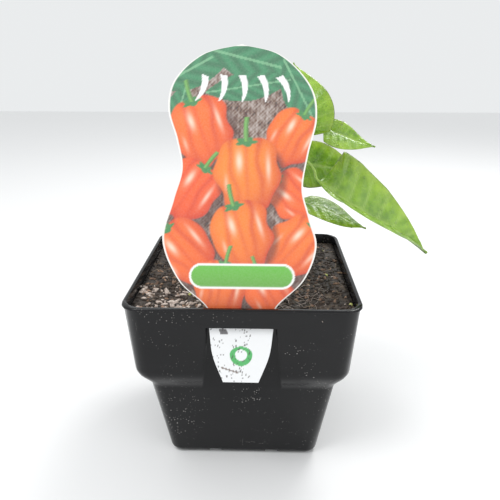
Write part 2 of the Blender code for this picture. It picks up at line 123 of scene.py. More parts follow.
# joins: height on the stem.  stalk, blade: points of the stalk and of the midrib, in mm.
# face: side that the upper face looks to.  Pairs give the left half, then the right one:
# half: half width in mm.  lift: degrees out of flat.  sweep: how far the edge lies back
# along the midrib.  belly: smaller where the half is widest nearer to its base.
LEAVES = [
    {"name": "leaf_large", "joins": 129.0,
     "stalk": [(19.5, 4.5, 134.0), (27.0, 1.0, 134.8), (31.4, -0.4, 130.6)],
     "blade": [(33.6, -1.2, 125.6), (44.0, -2.6, 118.0), (55.0, -3.0, 111.4),
               (67.0, -2.2, 104.6), (78.0, -1.0, 97.6), (87.2, 0.2, 90.2)],
     "face": (0.05, -0.42, 0.90), "half": (20.6, 15.0), "lift": (36.0, 30.0),
     "sweep": (0.55, -0.05), "belly": (0.62, 0.95), "drops": 2.2},
    {"name": "leaf_behind_large", "joins": 122.0,
     "stalk": [(13.0, 12.5, 125.5)],
     "blade": [(17.0, 15.5, 127.5), (28.0, 17.6, 129.6), (38.0, 18.4, 128.6),
               (48.0, 18.6, 126.4), (58.0, 17.5, 122.5)],
     "face": (0.1, -0.90, 0.40), "half": (11.6, 12.0), "lift": (6.0, 6.0),
     "sweep": (0.0, 0.0), "belly": (0.66, 0.60), "drops": 0.5},
    {"name": "leaf_lower_right", "joins": 110.0,
     "stalk": [(14.0, 6.0, 113.5)],
     "blade": [(21.0, 4.6, 114.6), (32.0, 2.6, 113.4), (41.5, 0.6, 110.0),
               (49.5, -0.6, 106.0), (57.0, -1.0, 102.8)],
     "face": (0.0, -0.12, 0.98), "half": (10.0, 7.6), "lift": (5.0, -20.0),
     "sweep": (0.0, 0.0), "belly": (0.80, 0.72), "drops": 2.0},
    {"name": "leaf_upper", "joins": 141.0,
     "stalk": [(20.0, 6.6, 143.0)],
     "blade": [(25.6, 3.2, 145.6), (27.8, 0.4, 152.5), (27.4, 1.4, 160.5),
               (24.8, 8.5, 168.8), (21.8, 18.5, 176.4)],
     "face": (0.0, -1.0, 0.25), "half": (10.0, 11.6), "lift": (10.0, 6.0),
     "sweep": (0.1, 0.1), "belly": (0.62, 0.66), "drops": 1.0},
    {"name": "leaf_small_right", "joins": 145.0,
     "stalk": [(24.0, 8.0, 145.8), (30.4, 7.0, 147.4)],
     "blade": [(35.0, 5.4, 148.8), (43.0, 1.6, 146.4), (50.5, -0.6, 143.6),
               (58.2, -1.6, 141.2)],
     "face": (0.1, -0.70, 0.72), "half": (6.6, 9.4), "lift": (8.0, 8.0),
     "sweep": (0.50, 0.05), "belly": (0.58, 0.66), "drops": 12.0},
    {"name": "leaf_back", "joins": 117.0,
     "stalk": [(7.0, 14.0, 121.5)],
     "blade": [(5.6, 20.0, 123.6), (3.0, 31.0, 124.4), (-0.5, 43.0, 119.5),
               (-3.0, 54.0, 110.0)],
     "face": (0.0, 0.25, 0.97), "half": (14.0, 14.0), "lift": (14.0, 14.0),
     "sweep": (0.15, 0.15), "belly": (0.66, 0.66), "drops": 1.0},
    {"name": "leaf_back_left", "joins": 136.0,
     "stalk": [(7.5, 14.0, 140.0)],
     "blade": [(3.0, 17.5, 142.2), (-5.0, 23.0, 144.6), (-14.0, 29.0, 143.2),
               (-21.0, 34.0, 138.0)],
     "face": (-0.15, -0.2, 0.95), "half": (9.0, 9.0), "lift": (12.0, 12.0),
     "sweep": (0.15, 0.15), "belly": (0.66, 0.66), "drops": 1.0},
    {"name": "leaf_lower_left", "joins": 100.0,
     "stalk": [(-1.0, 7.0, 104.6)],
     "blade": [(-5.0, 7.4, 106.4), (-12.0, 8.2, 108.0), (-19.0, 8.8, 106.4),
               (-25.0, 9.4, 102.0)],
     "face": (-0.2, 0.0, 0.97), "half": (8.0, 8.0), "lift": (10.0, 10.0),
     "sweep": (0.1, 0.1), "belly": (0.66, 0.66), "drops": 0.5},
    {"name": "young_leaf_back", "joins": 151.5,
     "stalk": [(14.2, 12.6, 154.4)],
     "blade": [(12.4, 14.6, 156.2), (8.6, 18.0, 159.2), (4.0, 22.0, 160.6)],
     "face": (-0.3, -0.2, 0.9), "half": (4.6, 4.6), "lift": (20.0, 20.0),
     "sweep": (0.0, 0.0), "belly": (0.7, 0.7), "drops": 0.0},
    {"name": "young_leaf_tip", "joins": 157.5,
     "stalk": [(14.8, 7.2, 160.0)],
     "blade": [(13.8, 6.2, 161.6), (11.4, 4.2, 165.6), (8.6, 2.4, 169.4)],
     "face": (-0.7, 0.3, 0.6), "half": (3.4, 3.4), "lift": (25.0, 25.0),
     "sweep": (0.0, 0.0), "belly": (0.7, 0.7), "drops": 0.0},
]


# ---------------------------------------------------------------- small helpers
def lerp(a, b, t):
    return a + (b - a) * t


def smooth_step(low, high, value):
    t = np.clip((value - low) / (high - low), 0.0, 1.0)
    return t * t * (3.0 - 2.0 * t)


def smooth_point(points, position):
    """Catmull-Rom point on a run of points; position counts in spans."""
    last = len(points) - 1
    span = min(int(position), last - 1)
    t = position - span
    p1 = points[span]
    p2 = points[span + 1]
    p0 = points[span - 1] if span > 0 else 2.0 * p1 - p2
    p3 = points[span + 2] if span + 2 <= last else 2.0 * p2 - p1
    return 0.5 * (2.0 * p1 + (p2 - p0) * t + (2.0 * p0 - 5.0 * p1 + 4.0 * p2 - p3) * t * t
                  + (3.0 * p1 - p0 - 3.0 * p2 + p3) * t * t * t)


def link_piece(name, mesh, material, replaced=()):
    """Give a finished mesh its object, material, slot and body."""
    piece = bpy.data.objects.new(name, mesh)
    bpy.context.scene.collection.objects.link(piece)
    if material is not None:
        mesh.materials.clear()
        mesh.materials.append(material)
    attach(piece, BODY)
    if replaced:
        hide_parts(*replaced)
    return piece


def mesh_from_rings(name, rings, cap_start=True, cap_end=True):
    """Closed, outward-facing, smooth skin over rings of equal point counts."""
    bm = bmesh.new()
    rows = [[bm.verts.new(point) for point in ring] for ring in rings]
    count = len(rings[0])
    for low, high in zip(rows, rows[1:]):
        for k in range(count):
            n = (k + 1) % count
            bm.faces.new((low[k], low[n], high[n], high[k]))
    if cap_start:
        bm.faces.new(rows[0][::-1])
    if cap_end:
        bm.faces.new(rows[-1])
    bmesh.ops.recalc_face_normals(bm, faces=bm.faces)
    mesh = bpy.data.meshes.new(name)
    bm.to_mesh(mesh)
    bm.free()
    mesh.shade_smooth()
    return mesh


def merged_copy(node, angle):
    """Welded copy of a CAD node's mesh, smooth up to an angle and with flat large faces."""
    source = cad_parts[node]
    mesh = source.data.copy()
    mesh.transform(source.matrix_world)
    bm = bmesh.new()
    bm.from_mesh(mesh)
    bmesh.ops.remove_doubles(bm, verts=bm.verts, dist=0.00001)
    bm.to_mesh(mesh)
    bm.free()
    mesh.shade_smooth()
    mesh.set_sharp_from_angle(angle=angle)
    carrier = bpy.data.objects.new(node + "_weighted", mesh)
    bpy.context.scene.collection.objects.link(carrier)
    modifier = carrier.modifiers.new("weighted", "WEIGHTED_NORMAL")
    modifier.keep_sharp = True
    modifier.weight = 90
    bpy.context.view_layer.update()
    depsgraph = bpy.context.evaluated_depsgraph_get()
    shaded = bpy.data.meshes.new_from_object(carrier.evaluated_get(depsgraph))
    carrier.modifiers.clear()
    bpy.data.objects.remove(carrier, do_unlink=True)
    return shaded


# ---------------------------------------------------------------- shader helpers
class Nodes:
    """Short way to add and join the nodes of one shader tree."""

    def __init__(self, tree):
        self.tree = tree

    def add(self, kind, values=None, **settings):
        node = self.tree.nodes.new(kind)
        for key, value in settings.items():
            setattr(node, key, value)
        for key, value in (values or {}).items():
            if isinstance(value, bpy.types.NodeSocket):
                self.tree.links.new(value, node.inputs[key])
            else:
                node.inputs[key].default_value = value
        return node

    def ramp(self, factor, stops):
        node = self.add("ShaderNodeValToRGB", {"Fac": factor})
        elements = node.color_ramp.elements
        while len(elements) < len(stops):
            elements.new(0.5)
        for element, (place, colour) in zip(elements, stops):
            element.position = place
            element.color = (*colour, 1.0)
        return node.outputs["Color"]

    def mix(self, factor, a, b):
        node = self.add("ShaderNodeMix", data_type="RGBA")
        for socket, value in ((node.inputs[0], factor), (node.inputs[6], a), (node.inputs[7], b)):
            if isinstance(value, bpy.types.NodeSocket):
                self.tree.links.new(value, socket)
            elif isinstance(value, float):
                socket.default_value = value
            else:
                socket.default_value = (*value, 1.0)
        return node.outputs[2]

    def math(self, operation, a, b=0.0):
        node = self.add("ShaderNodeMath", {0: a, 1: b}, operation=operation)
        return node.outputs[0]


def new_material(name, roughness=0.5, **inputs):
    material = bpy.data.materials.new(name)
    material.use_nodes = True
    nodes = Nodes(material.node_tree)
    shader = material.node_tree.nodes["Principled BSDF"]
    shader.inputs["Roughness"].default_value = roughness
    for key, value in inputs.items():
        shader.inputs[key.replace("_", " ")].default_value = value
    return material, nodes, shader


def speck_group():
    """Mask of fine dry dirt specks and splashes, used by the pot."""
    name = "dirt_specks"
    if name in bpy.data.node_groups:
        return bpy.data.node_groups[name]
    tree = bpy.data.node_groups.new(name, "ShaderNodeTree")
    for label, default in (("Scale", 900.0), ("Amount", 0.1)):
        socket = tree.interface.new_socket(name=label, in_out="INPUT", socket_type="NodeSocketFloat")
        socket.default_value = default
    tree.interface.new_socket(name="Mask", in_out="OUTPUT", socket_type="NodeSocketFloat")
    nodes = Nodes(tree)
    given = tree.nodes.new("NodeGroupInput")
    made = tree.nodes.new("NodeGroupOutput")
    place = nodes.add("ShaderNodeTexCoord").outputs["Object"]
    cells = nodes.add("ShaderNodeTexVoronoi", {"Vector": place, "Scale": given.outputs["Scale"]})
    patches = nodes.add("ShaderNodeTexNoise", {"Vector": place, "Scale": 45.0, "Detail": 3.0})
    size = nodes.math("MULTIPLY", nodes.math("SUBTRACT", patches.outputs["Fac"], 0.36), 2.2)
    pick = nodes.math("MULTIPLY", cells.outputs["Color"], size)
    edge = nodes.math("MULTIPLY", pick, given.outputs["Amount"])
    mask = nodes.math("LESS_THAN", cells.outputs["Distance"], edge)
    tree.links.new(mask, made.inputs["Mask"])
    return tree


def add_specks(nodes, scale, amount):
    group = nodes.add("ShaderNodeGroup", node_tree=speck_group())
    group.inputs["Scale"].default_value = scale
    group.inputs["Amount"].default_value = amount
    return group.outputs["Mask"]


def add_bump(nodes, shader, height, distance, strength=1.0):
    bump = nodes.add("ShaderNodeBump", {"Height": height, "Distance": distance,
                                        "Strength": strength})
    nodes.tree.links.new(bump.outputs["Normal"], shader.inputs["Normal"])


# ---------------------------------------------------------------- materials
def pot_material(colour):
    material, nodes, shader = new_material("pot_black_plastic", 0.2, Specular_IOR_Level=0.3)
    place = nodes.add("ShaderNodeTexCoord").outputs["Object"]
    cloud = nodes.add("ShaderNodeTexNoise", {"Vector": place, "Scale": 60.0, "Detail": 5.0})
    base = nodes.mix(cloud.outputs["Fac"], colour, tuple(c * 2.2 for c in colour))
    fine = add_specks(nodes, 900.0, 0.42)
    coarse = add_specks(nodes, 300.0, 0.14)
    specks = nodes.math("MAXIMUM", fine, coarse)
    dusty = nodes.mix(specks, base, (0.24, 0.23, 0.22))
    nodes.tree.links.new(dusty, shader.inputs["Base Color"])
    rough = nodes.math("MULTIPLY_ADD", cloud.outputs["Fac"], 0.22)
    rough.node.inputs[2].default_value = 0.04
    nodes.tree.links.new(nodes.math("MAXIMUM", rough, nodes.math("MULTIPLY", specks, 0.8)),
                         shader.inputs["Roughness"])
    ripple = nodes.add("ShaderNodeTexNoise", {"Vector": place, "Scale": 35.0, "Detail": 2.0})
    add_bump(nodes, shader, ripple.outputs["Fac"], 0.0006, 0.5)
    return material


def label_material():
    material, nodes, shader = new_material("label_print", 0.3, Coat_Weight=0.25, Coat_Roughness=0.15)
    ink = nodes.add("ShaderNodeAttribute", attribute_name="print").outputs["Color"]
    place = nodes.add("ShaderNodeTexCoord").outputs["Object"]
    grain = nodes.add("ShaderNodeTexNoise", {"Vector": place, "Scale": 1500.0, "Detail": 1.0})
    faded = nodes.mix(nodes.math("MULTIPLY", grain.outputs["Fac"], 0.10), ink, (0.95, 0.93, 0.90))
    nodes.tree.links.new(faded, shader.inputs["Base Color"])
    crease = nodes.add("ShaderNodeTexNoise", {"Vector": place, "Scale": 90.0, "Detail": 3.0})
    add_bump(nodes, shader, crease.outputs["Fac"], 0.0002, 0.4)
    rough = nodes.math("MULTIPLY_ADD", crease.outputs["Fac"], 0.3)
    rough.node.inputs[2].default_value = 0.2
    nodes.tree.links.new(rough, shader.inputs["Roughness"])
    return material


def soil_material():
    material, nodes, shader = new_material("potting_mix_damp", 0.8)
    place = nodes.add("ShaderNodeTexCoord").outputs["Object"]
    crumbs = nodes.add("ShaderNodeTexVoronoi", {"Vector": place, "Scale": 480.0})
    damp = nodes.add("ShaderNodeTexNoise", {"Vector": place, "Scale": 130.0, "Detail": 8.0})
    base = nodes.ramp(damp.outputs["Fac"], [(0.32, (0.006, 0.005, 0.005)), (0.55, (0.03, 0.021, 0.016)),
                                            (0.72, (0.10, 0.068, 0.045))])
    nodes.tree.links.new(nodes.mix(nodes.math("MULTIPLY", crumbs.outputs["Distance"], 0.35), base,
                                   (0.16, 0.12, 0.09)), shader.inputs["Base Color"])
    rough = nodes.math("MULTIPLY_ADD", damp.outputs["Fac"], 0.6)
    rough.node.inputs[2].default_value = 0.35
    nodes.tree.links.new(rough, shader.inputs["Roughness"])
    add_bump(nodes, shader, nodes.math("ADD", damp.outputs["Fac"], crumbs.outputs["Distance"]), 0.0012)
    return material


def grain_material(name, dark, light, roughness, scale):
    """Uneven bark, fibre or stone colour for what lies in the mix."""
    material, nodes, shader = new_material(name, roughness)
    place = nodes.add("ShaderNodeTexCoord").outputs["Object"]
    noise = nodes.add("ShaderNodeTexNoise", {"Vector": place, "Scale": scale, "Detail": 4.0})
    nodes.tree.links.new(nodes.ramp(noise.outputs["Fac"], [(0.35, dark), (0.65, light)]),
                         shader.inputs["Base Color"])
    add_bump(nodes, shader, noise.outputs["Fac"], 0.0003)
    return material


def leaf_material(name, dark, light, vein_colour, under):
    """Upper face by the vein attribute, and the under colour underneath, told apart by the upper
    attribute.
    """
    material, nodes, shader = new_material(name, 0.3, Specular_IOR_Level=0.6,
                                           Subsurface_Weight=0.12, Subsurface_Scale=0.002,
                                           Coat_Weight=0.35, Coat_Roughness=0.22)
    shader.inputs["Subsurface Radius"].default_value = (0.6, 1.0, 0.15)
    place = nodes.add("ShaderNodeTexCoord").outputs["Object"]
    vein = nodes.add("ShaderNodeAttribute", attribute_name="vein").outputs["Fac"]
    side = nodes.add("ShaderNodeAttribute", attribute_name="upper").outputs["Fac"]
    blotch = nodes.add("ShaderNodeTexNoise", {"Vector": place, "Scale": 170.0, "Detail": 5.0})
    flesh = nodes.ramp(blotch.outputs["Fac"], [(0.3, dark), (0.7, light)])
    upper = nodes.mix(nodes.math("MULTIPLY", vein, 0.75), flesh, vein_colour)
    both = nodes.mix(side, under, upper)
    nodes.tree.links.new(both, shader.inputs["Base Color"])
    cells = nodes.add("ShaderNodeTexVoronoi", {"Vector": place, "Scale": 900.0})
    wave = nodes.add("ShaderNodeTexNoise", {"Vector": place, "Scale": 420.0, "Detail": 3.0})
    height = nodes.math("ADD", wave.outputs["Fac"], nodes.math("MULTIPLY", cells.outputs["Distance"], 0.6))
    add_bump(nodes, shader, height, 0.00028, 0.8)
    rough = nodes.math("MULTIPLY_ADD", wave.outputs["Fac"], 0.35)
    rough.node.inputs[2].default_value = 0.14
    nodes.tree.links.new(nodes.math("MAXIMUM", rough, nodes.math("MULTIPLY", vein, 0.4)),
                         shader.inputs["Roughness"])
    return material


def water_material():
    material, _, shader = new_material("water_drops", 0.02, IOR=1.33, Transmission_Weight=1.0)
    shader.inputs["Base Color"].default_value = (0.97, 1.0, 0.95, 1.0)
    return material


# ---------------------------------------------------------------- scatter with Geometry Nodes
def scatter_tree(name, shape, material):
    """Tree that strews one small shape over a surface, with named inputs."""
    tree = bpy.data.node_groups.new(name, "GeometryNodeTree")
    tree.interface.new_socket(name="Geometry", in_out="INPUT", socket_type="NodeSocketGeometry")
    for label, default in (("Density", 1000.0), ("Smallest", 0.5), ("Largest", 1.0)):
        socket = tree.interface.new_socket(name=label, in_out="INPUT", socket_type="NodeSocketFloat")
        socket.default_value = default
    socket = tree.interface.new_socket(name="Seed", in_out="INPUT", socket_type="NodeSocketInt")
    socket.default_value = 1
    tree.interface.new_socket(name="Geometry", in_out="OUTPUT", socket_type="NodeSocketGeometry")
    nodes = Nodes(tree)
    given = tree.nodes.new("NodeGroupInput").outputs
    made = tree.nodes.new("NodeGroupOutput")
    spread = nodes.add("GeometryNodeDistributePointsOnFaces",
                       {"Mesh": given["Geometry"], "Density": given["Density"], "Seed": given["Seed"]})
    scale = nodes.add("FunctionNodeRandomValue", {2: given["Smallest"], 3: given["Largest"],
                                                  "Seed": given["Seed"]}, data_type="FLOAT")
    lying = name.endswith("drops")
    tilt = 0.0 if lying else 0.5
    turn = nodes.add("FunctionNodeRandomValue", {0: (-tilt, -tilt, 0.0), 1: (tilt, tilt, math.tau)},
                     data_type="FLOAT_VECTOR")
    rotation = turn.outputs[0]
    if lying:
        rotation = spread.outputs["Rotation"]
    copies = nodes.add("GeometryNodeInstanceOnPoints",
                       {"Points": spread.outputs["Points"], "Instance": shape(nodes),
                        "Rotation": rotation, "Scale": scale.outputs[1]})
    real = nodes.add("GeometryNodeRealizeInstances", {"Geometry": copies.outputs["Instances"]})
    paint = nodes.add("GeometryNodeSetMaterial", {"Geometry": real.outputs["Geometry"],
                                                  "Material": material})
    tree.links.new(paint.outputs["Geometry"], made.inputs["Geometry"])
    return tree


def shape_chip(nodes):
    block = nodes.add("GeometryNodeMeshIcoSphere", {"Radius": 1.0 * MM, "Subdivisions": 1})
    return nodes.add("GeometryNodeTransform", {"Geometry": block.outputs["Mesh"],
                                               "Scale": (1.5, 0.75, 0.45)}).outputs[0]


def shape_crumb(nodes):
    return nodes.add("GeometryNodeMeshIcoSphere", {"Radius": 1.0 * MM,
                                                   "Subdivisions": 1}).outputs["Mesh"]


def shape_fibre(nodes):
    arc = nodes.add("GeometryNodeCurveQuadraticBezier",
                    {"Resolution": 7, "Start": (-4.0 * MM, 0.0, 0.0),
                     "Middle": (0.0, 1.8 * MM, 0.9 * MM), "End": (4.0 * MM, -0.6 * MM, 0.0)})
    ring = nodes.add("GeometryNodeCurvePrimitiveCircle", {"Resolution": 4, "Radius": 0.09 * MM})
    return nodes.add("GeometryNodeCurveToMesh", {"Curve": arc.outputs["Curve"],
                                                 "Profile Curve": ring.outputs["Curve"],
                                                 "Fill Caps": True}).outputs["Mesh"]


def shape_drop(nodes):
    ball = nodes.add("GeometryNodeMeshIcoSphere", {"Radius": 0.5 * MM, "Subdivisions": 2})
    return nodes.add("GeometryNodeTransform", {"Geometry": ball.outputs["Mesh"],
                                               "Scale": (1.0, 1.0, 0.6)}).outputs[0]


def strew(name, ground, shape, material, sizes):
    """Run a scatter tree on a ground mesh and keep the result as a plain mesh piece."""
    density, smallest, largest, seed = sizes
    tree = scatter_tree(name, shape, material)
    carrier = bpy.data.objects.new(name + "_ground", ground)
    bpy.context.scene.collection.objects.link(carrier)
    modifier = carrier.modifiers.new(name, "NODES")
    modifier.node_group = tree
    values = {"Density": density, "Smallest": smallest, "Largest": largest, "Seed": seed}
    for item in tree.interface.items_tree:
        if item.in_out == "INPUT" and item.name in values:
            modifier[item.identifier] = values[item.name]
    bpy.context.view_layer.update()
    depsgraph = bpy.context.evaluated_depsgraph_get()
    mesh = bpy.data.meshes.new_from_object(carrier.evaluated_get(depsgraph))
    carrier.modifiers.clear()
    bpy.data.objects.remove(carrier, do_unlink=True)
    if not mesh.polygons:
        raise RuntimeError(name + " made no faces")
    for vertex in mesh.vertices:
        vertex.co = keep_inside(vertex.co)
    mesh.name = name
    mesh.shade_smooth()
    return link_piece(name, mesh, material)


# ---------------------------------------------------------------- label
def side_of(points, rows):
    """Distance across the label at each row, read from a smooth curve through points."""
    path = [Vector((x, s, 0.0)) for x, s in points]
    samples = [smooth_point(path, k / 24) for k in range((len(path) - 1) * 24 + 1)]
    heights = np.maximum.accumulate([p.y for p in samples])
    return np.interp(rows, heights, [p.x for p in samples])


def blob(x, s, centre, radii, turn, lobes=0.0, count=4):
    """Signed measure of a lobed oval: below 1 inside.  Also its own upright coordinates."""
    c, k = math.cos(turn), math.sin(turn)
    px = ((x - centre[0]) * c + (s - centre[1]) * k) / radii[0]
    ps = (-(x - centre[0]) * k + (s - centre[1]) * c) / radii[1]
    angle = np.arctan2(ps, px)
    return np.hypot(px, ps) / (1.0 + lobes * np.cos(count * angle + 0.6)), px, ps


def paint_over(colour, mask, paint):
    return colour * (1.0 - mask[..., None]) + np.asarray(paint) * mask[..., None]


def paint_leaf(colour, x, s, centre, radii, turn):
    """Printed pepper leaf: pointed oval with a pale midrib and side veins."""
    _, px, ps = blob(x, s, centre, radii, turn)
    inside = (np.abs(ps) < 1.0 - px * px) & (np.abs(px) < 1.0)
    shade = 0.65 + 0.35 * np.cos(9.0 * (px - 0.5 * np.abs(ps))) ** 2
    green = np.stack([0.05 * shade, 0.26 * shade, 0.12 * shade], -1)
    colour = paint_over(colour, inside.astype(float), green)
    rib = inside & (np.abs(ps) < 0.06)
    return paint_over(colour, rib * 0.6, (0.25, 0.55, 0.30))


def paint_pepper(colour, x, s, centre, size, turn, tone):
    """Printed ripe pepper: a folded lantern, darker round its edge, with its green stalk."""
    _, px, ps = blob(x, s, centre, (size, 1.15 * size), turn)
    waist = 1.0 - 0.16 * smooth_step(0.1, -0.9, ps) + 0.05 * np.cos(7.0 * ps + 8.0 * turn)
    waist -= 0.05 * np.cos(6.0 * ps - 9.0 * tone) * np.sign(px)
    wide = px / waist
    foot = 0.07 * np.cos(8.5 * wide + 5.0 * turn)
    shoulder = 0.10 * np.exp(-(wide / 0.28) ** 2)
    d = (np.abs(wide) ** 2.6 + np.abs(ps + np.where(ps < 0.0, foot, shoulder)) ** 2.6) ** (1.0 / 2.6)
    mask = smooth_step(1.02, 0.97, d)
    crease = np.abs(wide + 0.10 * np.sin(2.4 * ps + 9.0 * turn))
    folds = np.exp(-((crease - 0.42) / 0.10) ** 2) + 0.7 * np.exp(-((wide + 0.02) / 0.08) ** 2)
    folds = folds * smooth_step(-1.1, 0.2, ps)
    light = np.clip(0.78 + 0.22 * ps - 0.15 * px - 0.45 * np.clip(d, 0.0, 1.2) ** 4 - 0.38 * folds,
                    0.0, 1.0)
    deep = np.array([0.56, 0.022, 0.008])
    warm = np.array([1.0, 0.17 + tone, 0.018])
    body = deep + (warm - deep) * light[..., None]
    shine = np.exp(-(((px + 0.24) / 0.10) ** 2 + ((ps - 0.34) / 0.24) ** 2))
    shine += 0.8 * np.exp(-(((px - 0.64) / 0.07) ** 2 + ((ps - 0.15) / 0.32) ** 2))
    shine += 0.5 * np.exp(-(((px + 0.66) / 0.06) ** 2 + ((ps + 0.22) / 0.20) ** 2))
    body = body + (np.array([1.0, 0.78, 0.62]) - body) * np.clip(0.8 * shine, 0.0, 1.0)[..., None]
    shadow = np.hypot((x - centre[0] - 0.14 * size) / (1.1 * size),
                      (s - centre[1] + 0.16 * size) / (1.2 * size))
    colour = paint_over(colour, 0.65 * smooth_step(1.08, 0.85, shadow), (0.07, 0.02, 0.015))
    colour = paint_over(colour, mask, body)
    across, up = -math.sin(turn), math.cos(turn)
    star, _, _ = blob(x, s, (centre[0] + 0.98 * size * across, centre[1] + 0.98 * size * up),
                      (0.30 * size, 0.13 * size), turn, 0.2, 5)
    colour = paint_over(colour, smooth_step(1.1, 0.9, star), (0.05, 0.24, 0.07))
    bend = 0.22 * size * (ps - 1.0) ** 2
    stalk = np.abs(px * size - bend) / (0.075 * size)
    on_stalk = smooth_step(1.15, 0.8, stalk) * (ps > 0.86) * (ps < 1.5)
    lit = 0.75 + 0.25 * np.cos(3.0 * (px * size - bend) / (0.075 * size) + 0.8)
    return paint_over(colour, on_stalk, np.stack([0.17 * lit, 0.44 * lit, 0.10 * lit], -1))


def printed_picture(x, s, edge):
    """Colour of the printed face at points (x across, s up), in millimetres."""
    draw = random.Random(11)
    speckle = np.zeros_like(x)
    for _ in range(14):
        fx, fs = draw.uniform(-5.0, 5.0), draw.uniform(-5.0, 5.0)
        speckle += np.sin(fx * x + fs * s + draw.uniform(0.0, 6.3)) / 14.0
    ground = np.array([0.24, 0.17, 0.14]) + 0.55 * speckle[..., None]
    colour = np.clip(ground, 0.03, 0.7)
    for centre, radii, turn in PRINTED_LEAVES:
        colour = paint_leaf(colour, x, s, centre, radii, turn)
    for centre, size, turn, tone in PRINTED_PEPPERS:
        colour = paint_pepper(colour, x, s, centre, size, turn, tone)
    for k in range(5):
        _, px, ps = blob(x, s, (-17.0 + 8.6 * k, 95.0), (2.4, 5.6), 0.18 * (k - 2))
        body = np.abs(px + 0.55 * ps * ps - 0.2) - 0.62 * np.sqrt(np.clip(0.5 + 0.5 * ps, 0.0, 1.0))
        body = np.where(np.abs(ps) < 0.98, body, 1.0)
        colour = paint_over(colour, smooth_step(0.06, -0.06, body), (0.93, 0.93, 0.92))
    along = np.maximum(np.abs(x) - (BAND_REACH - BAND_HALF), 0.0)
    pill = np.hypot(along, s - BAND_MIDDLE)
    colour = paint_over(colour, smooth_step(BAND_HALF + 1.0, BAND_HALF + 0.7, pill), (0.92, 0.93, 0.90))
    band = np.stack([np.full_like(s, 0.13), 0.44 + 0.012 * (s - BAND_MIDDLE), np.full_like(s, 0.05)], -1)
    colour = paint_over(colour, smooth_step(BAND_HALF + 0.1, BAND_HALF - 0.2, pill), band)
    colour = paint_over(colour, smooth_step(0.75, 0.45, edge), (0.90, 0.88, 0.84))
    tail = smooth_step(1.2, 0.6, s)
    colour = paint_over(colour, tail, (0.82, 0.83, 0.84))
    drop = np.hypot(x, (s + 14.5)) - 3.6 * (1.0 - smooth_step(0.0, 7.4, s + 14.0))
    ring = smooth_step(0.15, 0.0, np.abs(drop) - 1.0) * (s < -6.5)
    colour = paint_over(colour, ring * tail, (0.05, 0.42, 0.10))
    for _ in range(150):
        dx, ds = draw.uniform(-13.0, 4.0), draw.uniform(-26.0, -2.0)
        grit = np.hypot(x - dx, (s - ds) * draw.uniform(0.6, 1.5)) < draw.uniform(0.08, 0.36)
        colour = paint_over(colour, grit * 0.85, (0.03, 0.025, 0.02))
    chip = np.maximum(np.abs(x + 7.2 + 0.4 * (s + 5.5)) - 1.6, np.abs(s + 5.0) - 1.0) < 0.0
    colour = paint_over(colour, chip * 0.9, (0.05, 0.045, 0.05))
    stick = np.maximum(np.abs(x + 4.6) - 3.6, np.abs(s + 21.0 + 0.30 * (x + 4.6)) - 0.32) < 0.0
    colour = paint_over(colour, stick * 0.9, (0.12, 0.07, 0.05))
    return np.clip(colour, 0.0, 1.0)


def label_mesh(columns, rows_count):
    """Sheet with a dense printed front, a white back and its cut edge."""
    low, high = LABEL_RIGHT[0][1], LABEL_RIGHT[-1][1] - 0.05
    step = np.linspace(0.0, 1.0, rows_count)
    rows = low + (high - low) * np.where(step < 0.9, step / 0.9 * 0.93,
                                         0.93 + 0.07 * np.sin(0.5 * math.pi * (step - 0.9) / 0.1))
    left = side_of(LABEL_LEFT, rows)
    right = side_of(LABEL_RIGHT, rows)
    across = np.linspace(0.0, 1.0, columns)
    x = left[:, None] + (right - left)[:, None] * across[None, :]
    s = np.repeat(rows[:, None], columns, 1)
    edge = np.minimum(x - left[:, None], right[:, None] - x)
    edge = np.minimum(edge, (high - s) * 0.9)
    picture = printed_picture(x, s, edge)
    lean = np.array([0.0, math.sin(LABEL_LEAN), math.cos(LABEL_LEAN)])
    out = np.array([0.0, -math.cos(LABEL_LEAN), math.sin(LABEL_LEAN)])
    flat = np.array([0.0, LABEL_Y, LABEL_Z]) + s[..., None] * MM * lean
    flat[..., 0] = x * MM
    front = flat + 0.45 * LABEL_THICK * out
    back = flat - 0.45 * LABEL_THICK * out
    total = rows_count * columns
    vertices = np.concatenate([front.reshape(-1, 3), back.reshape(-1, 3)])
    index = np.arange(total).reshape(rows_count, columns)
    a, b, c, d = index[:-1, :-1], index[:-1, 1:], index[1:, 1:], index[1:, :-1]
    faces = np.stack([a, b, c, d], -1).reshape(-1, 4).tolist()
    faces += (np.stack([a, d, c, b], -1).reshape(-1, 4) + total).tolist()
    rim = list(index[0, :]) + list(index[1:, -1]) + list(index[-1, -2::-1]) + list(index[-2:0:-1, 0])
    for k, here in enumerate(rim):
        there = rim[(k + 1) % len(rim)]
        faces.append([int(there), int(here), int(here) + total, int(there) + total])
    mesh = bpy.data.meshes.new("plant_label_sheet")
    mesh.from_pydata(vertices.tolist(), [], faces)
    attribute = mesh.color_attributes.new("print", "FLOAT_COLOR", "POINT")
    white = np.broadcast_to(np.array([0.86, 0.86, 0.84]), (total, 3))
    rgb = np.concatenate([picture.reshape(-1, 3), white])
    attribute.data.foreach_set("color", np.concatenate([rgb, np.ones((2 * total, 1))], 1).ravel())
    mesh.shade_smooth()
    mesh.set_sharp_from_angle(angle=math.radians(40.0))
    mesh.update()
    return mesh


# ---------------------------------------------------------------- stem and leaves
def stem_samples(steps):
    centres = [Vector(point[:3]) * MM for point in STEM_LINE]
    radii = [point[3] * MM for point in STEM_LINE]
    samples = []
    for k in range((len(STEM_LINE) - 1) * steps + 1):
        position = k / steps
        span = min(int(position), len(STEM_LINE) - 2)
        samples.append((smooth_point(centres, position),
                        lerp(radii[span], radii[span + 1], position - span)))
    return samples


def stem_at(z):
    samples = stem_samples(4)
    for (low, r_low), (high, r_high) in zip(samples, samples[1:]):
        if low.z <= z <= high.z:
            t = (z - low.z) / (high.z - low.z)
            return low.lerp(high, t), lerp(r_low, r_high, t)
    return samples[-1]


